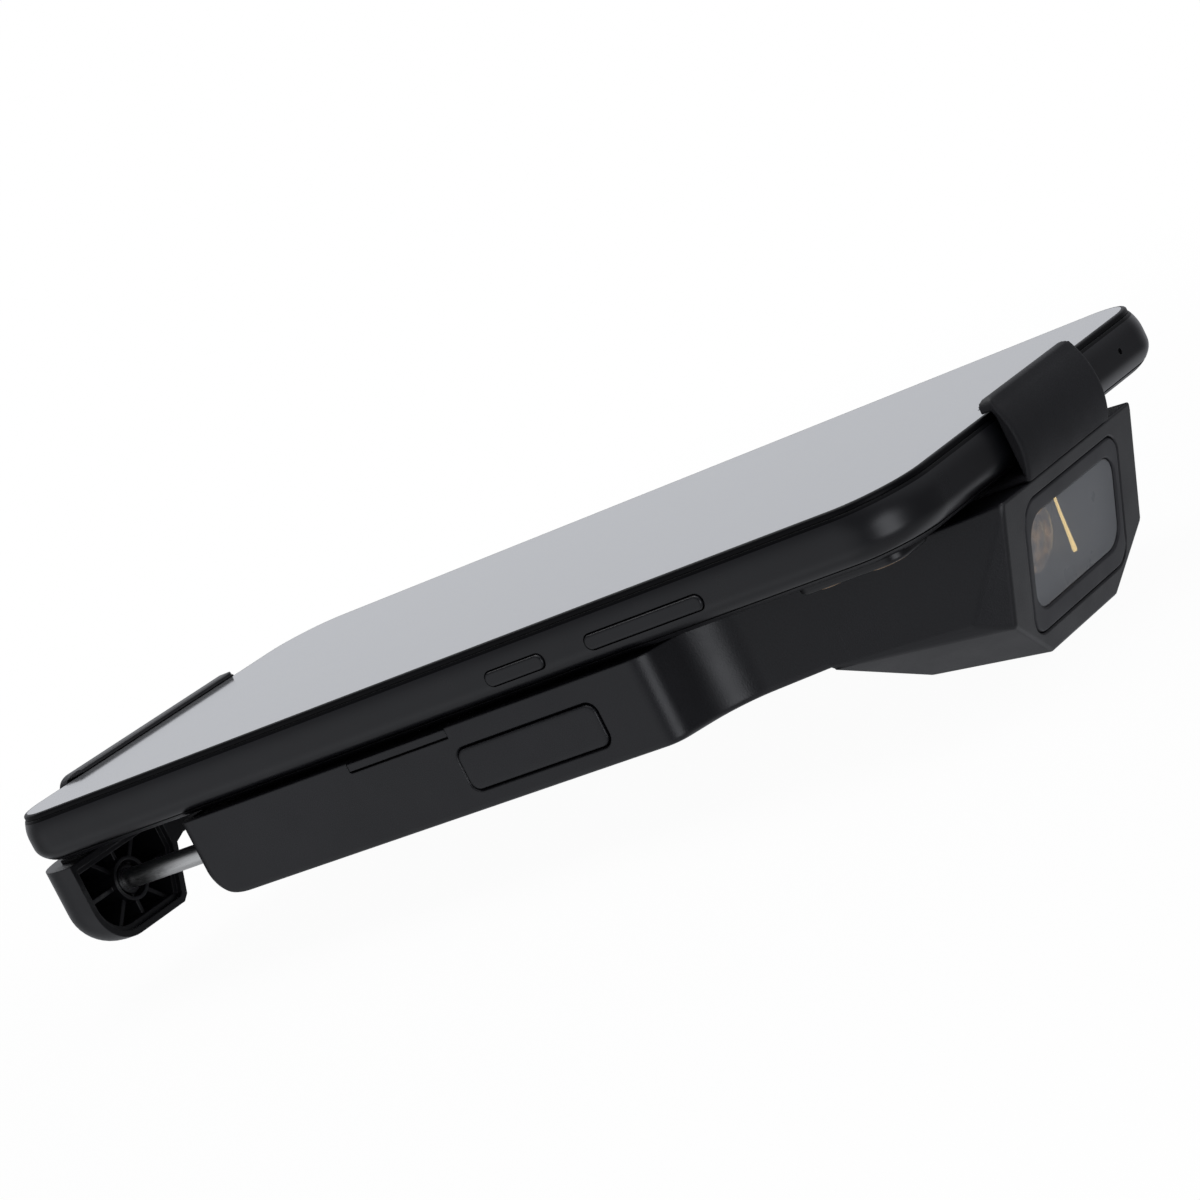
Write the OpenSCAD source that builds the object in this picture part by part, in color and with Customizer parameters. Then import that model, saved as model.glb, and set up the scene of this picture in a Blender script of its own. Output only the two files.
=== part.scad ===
// Handheld data collector: a flat phone held on the back of a scanner sled.
// The sled is a wide grip with a trigger key on each side, a waisted neck and a scan head.
// A fixed hook holds the phone's top end, and a sprung clamp on two steel rods its bottom end.
// +X points to the scan head, +Z out of the screen, and Z = 0 is the surface it stands on.

/* [Phone] */
// Length of the phone
phone_len = 163.5; // [162:0.5:164]
// Width of the phone
phone_w = 76.4; // [76:0.1:77]
// Thickness of the phone with its glass
phone_t = 8.2; // [8:0.1:8.4]
// Corner radius of the phone in plan
phone_corner_r = 10; // [9:0.5:11]
// Height of the screen's face above the surface it stands on
screen_z = 31; // [30.8:0.1:31.2]

/* [Grip] */
// Half the width of the grip
grip_half_w = 37.8; // [37.4:0.1:38.2]
// Length of the grip from its clamp end to its shoulder
grip_len = 87.1; // [86.5:0.1:88.5]
// Height of the grip's side walls
grip_h = 12; // [11.6:0.1:12.2]
// Radius of the shoulder in plan
shoulder_r = 3.5; // [3:0.5:4.5]
// Radius of the waist in plan
waist_r = 9.6; // [9:0.2:10.4]
// Thickness of the housing walls
wall = 1.8; // [1.6:0.1:2]

/* [Scan head] */
// Tilt of the scan face back from upright
face_tilt = 22; // [20:0.5:24]
// Half the width of the scan face
head_half_w = 18.7; // [18:0.1:19.4]
// Half the width of the head's lower front edge
head_low_half_w = 9.6; // [9:0.1:10]
// Slope of the two lower side faces of the head
head_side_slope = 33; // [31:0.5:35]

/* [Clamp] */
// How far the clamp pulls out
clamp_travel = 18; // [12:0.5:20]
// Half the width of the clamp across its two ears
clamp_half_w = 36.5; // [36:0.1:37]
// Height of the clamp's ears
clamp_h = 13.7; // [13:0.1:14]
// Radius of the guide rods
rod_r = 1.5; // [1.2:0.1:1.6]
// Distance of each guide rod from the middle
rod_y = 26; // [25.5:0.1:26.5]
// Running clearance round each rod in its bush
rod_clearance = 0.04; // [0.02:0.01:0.08]

/* [Keys] */
// How far a trigger key goes in
trigger_travel = 0.6; // [0.3:0.1:0.6]
// Gap round a trigger key
key_gap = 0.2; // [0.15:0.05:0.3]

/* [Hidden] */
$fn = 48;
fit = 0.1;          // gap between two pieces that are assembled by hand
far = 200;          // longer than the part, for cuts right through

plastic = [0.13, 0.13, 0.145];
soft_black = [0.07, 0.07, 0.075];
steel = [0.72, 0.72, 0.73];
board_green = [0.08, 0.3, 0.18];
module_grey = [0.35, 0.35, 0.37];

// Phone: its box, and the heights of its layers
phone_x0 = -phone_len / 2 + 0.25;
phone_x1 = phone_x0 + phone_len;
phone_mid_x = (phone_x0 + phone_x1) / 2;
back_z = screen_z - phone_t;
glass_t = 0.75;
cover_t = 0.9;
frame_top_z = screen_z - glass_t;
cover_top_z = back_z + cover_t;
frame_wall = 2.4;
deck_z0 = screen_z - 3.2;          // plate across the frame, between display and battery
deck_z1 = screen_z - 2.4;
side_key_z = screen_z - 4.5;
power_x = 19;
power_len = 10;
volume_x = 40.85;
volume_len = 19.3;
volume_pivot_y = -phone_w / 2 + 1.45;
side_key_h = 2;
side_key_proud = 0.35;
camera_pos = [68.5, -30.2];
camera_size = [17, 9];
earpiece_len = 12;
earpiece_w = 1.1;
earpiece_x = phone_x1 - 4.6;

// Sled: plan and side profile
grip_x0 = -48.7;
shoulder_x = grip_x0 + grip_len;
grip_top_z = back_z - 0.2;
grip_bottom_z = grip_top_z - grip_h;
end_r = 3;
heel_r = 4.5;
shoulder_turn = 25;
waist_run = 3.4;
neck_taper = 13.2;
head_x = 82.7;
head_top_z = back_z - 1.4;
head_bottom_x = head_x - head_top_z * tan(face_tilt);
chin_x = 59.8;
chin_z = 3.3;
throat_x = 53.5;
tray_t = 1.6;
tray_top_z = back_z - 0.4;
neck_tray_top_z = head_top_z;
neck_tray_x = shoulder_x - 3;
tongue_x0 = -14.6;
tongue_len = 18;
tongue_h = 1.2;
pilot_r = 1.12;
screw_r = 1.08;
screw_spots = [[-34, 32.5], [33, 31], [47.5, 20]];
screw_head_r = 2;
screw_head_h = 1;
hook_screw_x = 72;
hook_screw_y = 7;

// Scan face: distances run down the face from its top edge
bezel_half_w = 13.7;
bezel_s0 = 2.2;
bezel_s1 = 19.9;
pane_half_w = 12.2;
pane_s0 = 4.6;
pane_s1 = 17;
window_r = 3;
bezel_t = 1.2;
pane_t = 0.9;
pane_back = 0.3;          // how far the pane sits behind the bezel's face
engine_face = -3.4;       // depth of the scan engine's front behind the face

// Clamp
clamp_x0 = -83.5;
clamp_rim_x = -72.5;
clamp_top_z = back_z - 0.8;
clamp_bottom_z = clamp_top_z - clamp_h;
clamp_plan_r = 10;
clamp_edge_r = 6.5;       // rounding of the ears' lower edge
web_z = clamp_top_z - 5.1;
stop_half_w = 21.5;       // half the width of the upright stop behind the phone's end
stop_wall_x = -82;
stop_top_z = screen_z + 0.8;
lip_x = -80.3;
lip_gap = 0.15;
boss_r = 3.3;
rib_t = 0.8;
rib_count = 8;
rod_z = 15.5;
rod_x0 = -81;
rod_x1 = -2;
collar_len = 4;
collar_r = 2.9;
bush_flange_t = 0.6;
bush_r = 3.2;
bush_x1 = -41.5;
spring_r = 2.45;
spring_wire_r = 0.35;
spring_turns = 13;
spring_sides = 6;
spring_steps = 14;
tip_screw_r = 0.9;

// Trigger keys
trigger_x0 = 3.5;
trigger_len = 24;
trigger_z0 = 13.4;
trigger_h = 5.8;
trigger_r = 1.4;
trigger_proud = 0.2;
flange_t = 0.9;
flange_rim = 0.8;
stem_y = grip_half_w - wall - 2.5;

// ---- Outlines ----

// Points along an arc round c from angle a0 to a1
function arc(c, r, a0, a1, n = 10) =
    [for (i = [0:n]) let (a = a0 + (a1 - a0) * i / n) c + r * [cos(a), sin(a)]];

function unit(v) = v / norm(v);
function left(v) = [-v.y, v.x];
function flip_y(pts) = [for (i = [len(pts) - 1:-1:0]) [pts[i].x, -pts[i].y]];

// A closed counterclockwise outline moved in by t, with mitred corners
function inset(pts, t) = let (n = len(pts)) [for (i = [0:n - 1])
    let (a = left(unit(pts[i] - pts[(i + n - 1) % n])))
    let (b = left(unit(pts[(i + 1) % n] - pts[i])))
    pts[i] + (a + b) * t / (1 + a * b)];

shoulder_c = [shoulder_x - shoulder_r, grip_half_w - shoulder_r];
shoulder_out = [cos(shoulder_turn), sin(shoulder_turn)];
waist_c = shoulder_c + (shoulder_r + waist_r) * shoulder_out
    + waist_run * [shoulder_out.y, -shoulder_out.x];

// The sled's +Y side in plan, from the head back to the clamp end
sled_half = concat(
    [[head_x + 2, head_half_w - 2 * tan(neck_taper)], [head_x, head_half_w]],
    arc(waist_c, waist_r, 270 - neck_taper, 180 + shoulder_turn),
    arc(shoulder_c, shoulder_r, shoulder_turn, 90),
    arc([grip_x0 + end_r, grip_half_w - end_r], end_r, 90, 180));
sled_plan = concat(sled_half, flip_y(sled_half));

// The sled from the side, with its open top raised by lift
function sled_profile(lift = 0) = concat(
    arc([grip_x0 + heel_r, grip_bottom_z + heel_r], heel_r, 180, 270),
    [[throat_x, grip_bottom_z], [chin_x, chin_z], [head_bottom_x, 0],
    [head_x + lift * tan(face_tilt), head_top_z + lift],
    [shoulder_x + 4, grip_top_z - 0.5 + lift], [shoulder_x, grip_top_z + lift],
    [grip_x0, grip_top_z + lift]]);

// The +Y ear seen along X, before its outer edge is rounded
ear_section = [[15.5, clamp_top_z - 5.9], [18.5, clamp_bottom_z + 0.8], [19.7, clamp_bottom_z],
    [clamp_half_w, clamp_bottom_z], [clamp_half_w, clamp_top_z], [15.5, clamp_top_z]];

// ---- Helpers ----

module along_x(x0, x1) translate([x0, 0, 0]) rotate([90, 0, 90]) linear_extrude(x1 - x0) children();
module along_y(y0, y1) translate([0, y1, 0]) rotate([90, 0, 0]) linear_extrude(y1 - y0) children();
module along_z(z0, z1) translate([0, 0, z0]) linear_extrude(z1 - z0) children();
module both_sides() for (side = [0, 1]) mirror([0, side, 0]) children();
module box(x0, x1, y0, y1, z0, z1) translate([x0, y0, z0]) cube([x1 - x0, y1 - y0, z1 - z0]);
module rod(x0, x1, r) translate([x0, 0, 0]) rotate([0, 90, 0]) cylinder(h = x1 - x0, r = r);

// A flat rectangle with round corners, centred
module round_rect(w, h, r) {
    square([w - 2 * r, h], center = true);
    square([w, h - 2 * r], center = true);
    for (x = [-1, 1], y = [-1, 1]) translate([x * (w / 2 - r), y * (h / 2 - r)]) circle(r);
}

// Places children on the scan face: X out of the face, Y across, -Z down the face
module on_face() translate([head_x, 0, head_top_z]) rotate([0, face_tilt, 0]) children();

// A plate on the scan face from depth d0 to d1, between s0 and s1 down the face
module face_plate(half_w, s0, s1, r, d0, d1)
    on_face() translate([0, 0, -(s0 + s1) / 2]) along_x(d0, d1) round_rect(2 * half_w, s1 - s0, r);

// The sled's solid, moved in by t, with its top raised by lift
module sled_body(t, lift) {
    rise = t / cos(head_side_slope);
    difference() {
        intersection() {
            along_z(-1, screen_z + lift) polygon(inset(sled_plan, t));
            along_y(-grip_half_w - 1, grip_half_w + 1) polygon(inset(sled_profile(lift), t));
        }
        both_sides() along_x(throat_x - 1, head_x + 3)
            polygon([[head_low_half_w, rise], [head_low_half_w, -2], [30, -2],
                [30, (30 - head_low_half_w) * tan(head_side_slope) + rise]]);
    }
}

// One trigger key's outline seen along Y, grown by extra
module trigger_outline(extra) translate([trigger_x0 + trigger_len / 2, trigger_z0 + trigger_h / 2])
    round_rect(trigger_len + 2 * extra, trigger_h + 2 * extra, trigger_r + extra);

// A key bar in the phone's side, with half-round ends, along Y from y0 to y1
module side_key(x, len, h, y0, y1)
    translate([x, 0, side_key_z]) along_y(y0, y1) round_rect(len, h, h / 2 - 0.01);

module screw_up(x, y, z0, len) translate([x, y, z0]) {
    cylinder(h = screw_head_h, r = screw_head_r);
    cylinder(h = len, r = screw_r);
}

// ---- Sled ----

module lower_shell() color(plastic) {
    difference() {
        sled_body(0, 0);
        sled_body(wall, 4);
        face_plate(bezel_half_w, bezel_s0, bezel_s1, window_r, -bezel_t, 5);
        face_plate(pane_half_w + 0.6, pane_s0 - 0.6, pane_s1 + 0.6, window_r, -8, 5);
        both_sides() {
            along_y(grip_half_w - wall - 1, grip_half_w + 1) trigger_outline(key_gap);
            box(tongue_x0 - fit, tongue_x0 + tongue_len + fit, grip_half_w - wall - 1,
                grip_half_w + 1, grip_top_z - tongue_h - fit, grip_top_z + 1);
            translate([0, rod_y, rod_z]) rod(grip_x0 - 1, bush_x1 + 0.5, bush_r);
            for (p = screw_spots) translate([p.x, p.y, grip_bottom_z - 1]) {
                cylinder(h = wall + 3, r = screw_r + 0.2);
                cylinder(h = 1.2 + screw_head_h, r = screw_head_r + 0.25);
            }
        }
        translate([0, 0, rod_z]) along_x(grip_x0 - 1, grip_x0 + wall + 1)
            round_rect(9.4, 3.6, 1.7);
        translate([0, 11, rod_z]) rod(grip_x0 - 1, grip_x0 + wall + 1, 1 + fit / 2);
    }
    // posts that carry the trigger switches
    both_sides() box(trigger_x0 + 8, trigger_x0 + 16, 27.6, stem_y - 3.2,
        grip_bottom_z + wall - 0.1, 18);
}

module bed_tray() color(plastic * 0.9) difference() {
    union() {
        intersection() {
            along_z(tray_top_z - tray_t, tray_top_z) polygon(inset(sled_plan, wall + fit));
            box(-far, shoulder_x - 1, -far, far, 0, far);
        }
        intersection() {
            along_z(neck_tray_top_z - 1.4, neck_tray_top_z) polygon(inset(sled_plan, wall + fit));
            along_y(-40, 40) polygon(inset(sled_profile(4), wall + fit));
            box(neck_tray_x, far, -far, far, 0, far);
        }
        both_sides() {
            box(tongue_x0, tongue_x0 + tongue_len, grip_half_w - wall - 1.5, grip_half_w,
                grip_top_z - tongue_h, grip_top_z - 0.2);
            for (p = screw_spots) translate([p.x, p.y, grip_bottom_z + wall])
                cylinder(h = neck_tray_top_z - 0.2 - grip_bottom_z - wall, r = 2.6);
            translate([hook_screw_x, hook_screw_y, neck_tray_top_z - 2.7]) cylinder(h = 2.2, r = 2.4);
        }
    }
    both_sides() {
        for (p = screw_spots) translate([p.x, p.y, grip_bottom_z]) cylinder(h = 8.6, r = pilot_r);
        translate([hook_screw_x, hook_screw_y, neck_tray_top_z - 4]) cylinder(h = 6, r = pilot_r);
    }
}

module bed_pads() color(soft_black) both_sides()
    for (x = [-40, 2]) translate([x + 15, 28.5, 0]) along_z(tray_top_z, back_z)
        round_rect(30, 5, 2);

hook_c = [72.5, 26.6];
hook_r = 11.7;
hook_half_w = 11.8;
hook_foot_z = head_top_z + 0.05;
hook_foot_top = back_z - 0.3;
hook_inner_x = phone_x1 + 0.5;
hook_tip_x = phone_x1 - 1.2;
hook_foot_x = phone_x1 - 12.5;
hook_top_z = screen_z + 1.9;

module top_hook() color(soft_black) difference() {
    intersection() {
        along_y(-hook_half_w, hook_half_w) polygon(concat(
            [[hook_foot_x, hook_foot_z]],
            arc(hook_c, hook_r, asin((hook_foot_z - hook_c.y) / hook_r),
                asin((hook_top_z - hook_c.y) / hook_r)),
            [[hook_tip_x + 0.6, hook_top_z - 0.3], [hook_tip_x, hook_top_z - 0.8],
            [hook_tip_x, screen_z + lip_gap], [hook_inner_x, screen_z + lip_gap],
            [hook_inner_x, hook_foot_top], [hook_foot_x, hook_foot_top]]));
        translate([0, 0, hook_top_z - 10]) along_x(0, far)
            round_rect(2 * hook_half_w, 20, 1.6);
    }
    both_sides() translate([hook_screw_x, hook_screw_y, hook_foot_z - 1])
        cylinder(h = 6, r = screw_r + fit);
    both_sides() translate([hook_screw_x, hook_screw_y, hook_foot_top - 0.7])
        cylinder(h = 2, r = screw_head_r + fit);
}

module top_hook_pad() color(soft_black) translate([0, 0, (screen_z + back_z) / 2])
    along_x(phone_x1 + 0.02, hook_inner_x) round_rect(2 * hook_half_w - 3, 5, 1);

module hook_screws() color(steel) both_sides() translate([hook_screw_x, hook_screw_y, 0]) {
    translate([0, 0, hook_foot_top - 0.7]) cylinder(h = 0.65, r = screw_head_r);
    translate([0, 0, neck_tray_top_z - 2.6]) cylinder(h = 3, r = screw_r);
}

module window_bezel() color(plastic * 1.4) difference() {
    face_plate(bezel_half_w - fit, bezel_s0 + fit, bezel_s1 - fit, window_r - fit, -bezel_t, 0);
    face_plate(pane_half_w + 0.05, pane_s0 - 0.05, pane_s1 + 0.05, window_r, -5, 5);
}

module scan_window() color([0.38, 0.39, 0.4, 0.6])
    face_plate(pane_half_w, pane_s0, pane_s1, window_r - 0.05, -pane_back - pane_t, -pane_back);

module scan_engine_body() color(module_grey) {
    face_plate(10.5, 7.5, 18, 1, -12, engine_face - 0.4);
    face_plate(11.6, 4.4, 18.4, 1, engine_face - 0.5, engine_face);
}

module scan_lens() color([0.3, 0.22, 0.12]) on_face() translate([0, -5.9, -9.2]) {
    rod(engine_face, engine_face + 1.2, 3.4);
    rod(engine_face + 1.1, engine_face + 1.7, 2.4);
}

module aimer_lens() color([0.9, 0.72, 0.35]) on_face() along_x(engine_face, engine_face + 1.9)
    polygon([[-2.2, -5.2], [2.1, -14.5], [3.1, -14.5], [-1.6, -5.2]]);

module main_board() color(board_green) box(10, 55, -17, 17, 18.4, 19.4);

module board_chips() color(soft_black) {
    box(16, 28, -6, 6, 17, 18.4);
    box(33, 41, 2, 12, 17.2, 18.4);
    box(33, 43, -13, -4, 17.4, 18.4);
}

module battery_pack() color([0.25, 0.27, 0.32])
    translate([-15, 0, 0]) along_z(12.8, 19.2) round_rect(46, 40, 2);

module usb_socket() color(steel) translate([0, 0, rod_z]) {
    difference() {
        along_x(grip_x0 + 0.4, grip_x0 + 7.5) round_rect(9, 3.2, 1.55);
        along_x(grip_x0, grip_x0 + 6.8) round_rect(8.4, 2.6, 1.25);
    }
    along_x(grip_x0 + 1.4, grip_x0 + 7) round_rect(6.6, 0.7, 0.2);
}

module buzzer() color(soft_black) translate([47, 10, 13.6]) cylinder(h = 3.4, r = 4.5);

module status_light_pipe() color([0.85, 0.88, 0.9]) translate([0, 11, rod_z])
    rod(grip_x0, grip_x0 + 6, 1);

module trigger_key() {
    along_y(grip_half_w - wall - 0.2, grip_half_w + trigger_proud) trigger_outline(0);
    along_y(grip_half_w - wall - 0.1 - flange_t, grip_half_w - wall - 0.1)
        trigger_outline(flange_rim);
    translate([trigger_x0 + 12, 0, 16.3]) along_y(stem_y, grip_half_w - wall - 0.5)
        round_rect(4, 3, 0.6);
}

module trigger_left() color(plastic * 1.05) trigger_key();
module trigger_right() color(plastic * 1.05) mirror([0, 1, 0]) trigger_key();

module trigger_switches() color(soft_black) both_sides() {
    box(trigger_x0 + 9, trigger_x0 + 15, stem_y - 3.2, stem_y - 1.1, 14, 18);
    translate([trigger_x0 + 12, 0, 16.3]) along_y(stem_y - 1.2, stem_y - trigger_travel - 0.05)
        circle(1);
}

module rod_bushes() color([0.55, 0.45, 0.25]) both_sides() translate([0, rod_y, rod_z])
    difference() {
        union() {
            rod(grip_x0 - bush_flange_t, grip_x0, bush_r + 0.8);
            rod(grip_x0 - 0.1, bush_x1, bush_r - 0.03);
        }
        rod(grip_x0 - 2, bush_x1 + 1, rod_r + rod_clearance);
    }

module housing_screws() color(steel) both_sides()
    for (p = screw_spots) screw_up(p.x, p.y, grip_bottom_z + 0.15, 7.6);

// ---- Clamp ----

module clamp_block() color(plastic) difference() {
    union() {
        both_sides() {
            difference() {
                ear(0);
                ear(wall, 8);
            }
            intersection() {
                translate([0, rod_y, rod_z]) {
                    rod(clamp_x0 + wall - 0.5, clamp_rim_x - 0.8, boss_r);
                    for (i = [0:rib_count - 1]) rotate([i * 360 / rib_count, 0, 0])
                        box(clamp_x0 + wall - 0.5, clamp_rim_x - 2, boss_r - 0.5, 14,
                            -rib_t / 2, rib_t / 2);
                }
                ear(wall - 0.3, 8);
            }
        }
        along_x(clamp_x0, clamp_rim_x) polygon([[-15.6, web_z - 0.8], [-13.5, web_z], [13.5, web_z],
            [15.6, web_z - 0.8], [15.6, clamp_top_z], [-15.6, clamp_top_z]]);
        along_x(clamp_x0, stop_wall_x) stop_outline();
        intersection() {
            along_x(clamp_x0, lip_x) stop_outline();
            box(-90, 0, -30, 30, screen_z + lip_gap, far);
        }
    }
    both_sides() translate([0, rod_y, rod_z]) {
        rod(rod_x0, 0, rod_r + 0.01);
        rod(clamp_x0 - 1, rod_x0 + 1, tip_screw_r + fit);
        rod(clamp_x0 - 1, clamp_x0 + 1.3, screw_head_r + fit);
    }
}

// The upright stop behind the phone's end, seen along X
module stop_outline() translate([0, (stop_top_z + clamp_top_z - 3) / 2])
    round_rect(2 * stop_half_w, stop_top_z - clamp_top_z + 3, 2);

// The +Y ear moved in by t, and open more along X. Its outer lower edge is rounded all the way.
module ear(t, open = 0) {
    r = clamp_plan_r - t;
    edge = clamp_edge_r - t;
    z0 = clamp_bottom_z + t;
    z1 = clamp_top_z - t;
    side = concat([[0, z0]], arc([r - edge, z0 + edge], edge, -90, 0), [[r, z1], [0, z1]]);
    run = clamp_rim_x + open - clamp_x0 - clamp_plan_r;
    intersection() {
        translate([clamp_x0 + clamp_plan_r, clamp_half_w - clamp_plan_r, 0]) {
            rotate_extrude() polygon(side);
            along_x(0, run) polygon(side);
            mirror([1, 0, 0]) along_y(-12, 0) polygon(side);
            box(0, run, -12, 0, z0, z1);
        }
        along_x(-90, clamp_rim_x + open) polygon(inset(ear_section, t));
    }
}

module clamp_pad() color(soft_black) {
    translate([0, 0, (screen_z + back_z) / 2]) along_x(stop_wall_x, phone_x0 - fit)
        round_rect(2 * stop_half_w - 5, 5, 1);
    for (y = [-28, 28]) translate([clamp_rim_x - 3.5, y, 0])
        along_z(clamp_top_z, clamp_top_z + 0.5) round_rect(5, 9, 1);
}

module guide_rod() translate([0, rod_y, rod_z]) difference() {
    rod(rod_x0, rod_x1, rod_r);
    rod(rod_x0 - 1, rod_x0 + 6, tip_screw_r + 0.02);
}
module guide_rod_left() color(steel) guide_rod();
module guide_rod_right() color(steel) mirror([0, 1, 0]) guide_rod();

module rod_collars() color(steel) both_sides() translate([0, rod_y, rod_z]) difference() {
    rod(rod_x1 - collar_len, rod_x1, collar_r);
    rod(rod_x1 - collar_len - 1, rod_x1 + 1, rod_r + 0.01);
}

module rod_screws() color(steel) both_sides() translate([0, rod_y, rod_z]) {
    rod(clamp_x0 + 0.2, clamp_x0 + 1.3, screw_head_r);
    rod(clamp_x0 + 1.2, rod_x0 + 5, tip_screw_r);
}

// A helical wire from x0 to x1 about the X axis
module coil_spring(x0, x1) {
    steps = spring_turns * spring_steps;
    pitch = (x1 - x0 - 2 * spring_wire_r) / steps;
    ring = [for (k = [0:steps], j = [0:spring_sides - 1])
        let (a = k * 360 / spring_steps, b = j * 360 / spring_sides)
        let (r = spring_r + spring_wire_r * cos(b))
        [x0 + spring_wire_r + k * pitch + spring_wire_r * sin(b), r * cos(a), r * sin(a)]];
    quads = [for (k = [0:steps - 1], j = [0:spring_sides - 1])
        let (m = (j + 1) % spring_sides, p = k * spring_sides, q = p + spring_sides)
        [p + j, q + j, q + m, p + m]];
    caps = [[for (j = [0:spring_sides - 1]) j],
        [for (j = [spring_sides - 1:-1:0]) steps * spring_sides + j]];
    polyhedron(ring, concat(quads, caps));
}
module return_spring() translate([0, rod_y, rod_z])
    coil_spring(bush_x1 + fit, rod_x1 - collar_len - fit);
module return_spring_left() color(steel) return_spring();
module return_spring_right() color(steel) mirror([0, 1, 0]) return_spring();

// ---- Phone ----

// Half section of the phone's edge: a flat back that curves up into an upright side
edge_round = [5.2, 4.2];
edge_section = concat([[0, back_z]],
    [for (p = arc([0, 0], 1, -90, 0, 6)) [phone_corner_r - edge_round.x + edge_round.x * p.x,
        back_z + edge_round.y + edge_round.y * p.y]],
    [[phone_corner_r, frame_top_z - 0.9], [phone_corner_r - 0.25, frame_top_z - 0.2],
    [phone_corner_r - 0.4, frame_top_z], [0, frame_top_z]]);

module phone_solid() hull() for (x = [phone_x0, phone_x1], y = [-1, 1])
    translate([x - sign(x) * phone_corner_r, y * (phone_w / 2 - phone_corner_r), 0])
        rotate_extrude($fn = 32) polygon(edge_section);

module phone_slab(margin, z0, z1) translate([phone_mid_x, 0, 0]) along_z(z0, z1)
    round_rect(phone_len - 2 * margin, phone_w - 2 * margin, phone_corner_r - margin);

module phone_frame() color(soft_black) difference() {
    phone_solid();
    box(-far, far, -far, far, 0, cover_top_z);
    phone_slab(frame_wall, deck_z1, screen_z);
    phone_slab(frame_wall + 1.2, 0, deck_z0);
    side_key(power_x, power_len + 0.3, side_key_h + 0.3, -phone_w / 2 - 1, -phone_w / 2 + 2);
    side_key(volume_x, volume_len + 0.5, side_key_h + 0.3, -phone_w / 2 - 1, -phone_w / 2 + 2);
    side_key(20, 16, side_key_h + 0.1, phone_w / 2 - 5, phone_w / 2 + 1);
    translate([0, 0, side_key_z]) along_x(phone_x0 - 1, phone_x0 + 5) round_rect(9.2, 3.2, 1.5);
    translate(camera_pos) along_z(0, deck_z0) round_rect(camera_size.x, camera_size.y, 3);
}

module phone_back_cover() color(soft_black) difference() {
    intersection() {
        phone_solid();
        box(-far, far, -far, far, 0, cover_top_z);
    }
    translate(camera_pos) along_z(0, far) round_rect(camera_size.x, camera_size.y, 3);
}

module screen_glass() color([0.72, 0.72, 0.73]) difference() {
    phone_slab(0.4, frame_top_z, screen_z);
    translate([earpiece_x, 0, 0]) along_z(0, far)
        round_rect(earpiece_w, earpiece_len, earpiece_w / 2 - 0.01);
}

module display_panel() color(module_grey) phone_slab(frame_wall + fit, deck_z1, frame_top_z);

module phone_battery() color([0.25, 0.27, 0.32]) box(-52, 26, -26, 26, cover_top_z, deck_z0);

module phone_board() color(board_green) box(30, 60, -24, 28, 25, 26.2);

module phone_socket() color(steel) translate([0, 0, side_key_z]) difference() {
    along_x(phone_x0 + 0.4, phone_x0 + 4.9) round_rect(9, 3, 1.45);
    along_x(phone_x0, phone_x0 + 4.2) round_rect(8.2, 2.3, 1.1);
}

module phone_speaker() color(soft_black) box(-76, -56, 8, 28, cover_top_z + 0.2, deck_z0 - 0.3);

module sim_tray() color(soft_black) side_key(20, 15.8, side_key_h, phone_w / 2 - 4.9, phone_w / 2 - 0.05);

module rear_camera() color(soft_black) translate(camera_pos) {
    along_z(back_z - 0.8, deck_z0 - 0.5)
        round_rect(camera_size.x - 0.2, camera_size.y - 0.2, 2.9);
}

module camera_lenses() color([0.1, 0.1, 0.14]) for (x = [-4, 4])
    translate([camera_pos.x + x, camera_pos.y, back_z - 1.1]) cylinder(h = 0.3, r = 2.8);

module earpiece_grille() color(module_grey) translate([earpiece_x, 0, 0])
    along_z(frame_top_z, screen_z - 0.3)
        round_rect(earpiece_w - 0.1, earpiece_len - 0.1, earpiece_w / 2 - 0.1);

module power_button() color(soft_black)
    side_key(power_x, power_len, side_key_h, -phone_w / 2 - side_key_proud, -phone_w / 2 + 1.6);

module volume_rocker() color(soft_black) {
    side_key(volume_x, volume_len, side_key_h, -phone_w / 2 - side_key_proud, volume_pivot_y);
    // round knuckle that the bar rocks about
    translate([volume_x, volume_pivot_y, side_key_z]) cylinder(h = side_key_h, r = 0.5, center = true);
}

lower_shell();
bed_tray();
bed_pads();
top_hook();
top_hook_pad();
hook_screws();
window_bezel();
scan_window();
scan_engine_body();
scan_lens();
aimer_lens();
main_board();
board_chips();
battery_pack();
usb_socket();
buzzer();
status_light_pipe();
trigger_left();
trigger_right();
trigger_switches();
rod_bushes();
housing_screws();
clamp_block();
clamp_pad();
guide_rod_left();
guide_rod_right();
rod_collars();
rod_screws();
return_spring_left();
return_spring_right();
phone_frame();
phone_back_cover();
screen_glass();
display_panel();
phone_battery();
phone_board();
phone_socket();
phone_speaker();
sim_tray();
rear_camera();
camera_lenses();
earpiece_grille();
power_button();
volume_rocker();
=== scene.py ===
"""Looks for the handheld data collector: a phone held on a scanner sled.

Lengths below are in millimetres and become metres when a mesh is made.
"""
import math

import bmesh
import bpy
from mathutils import Matrix, Vector


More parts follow.
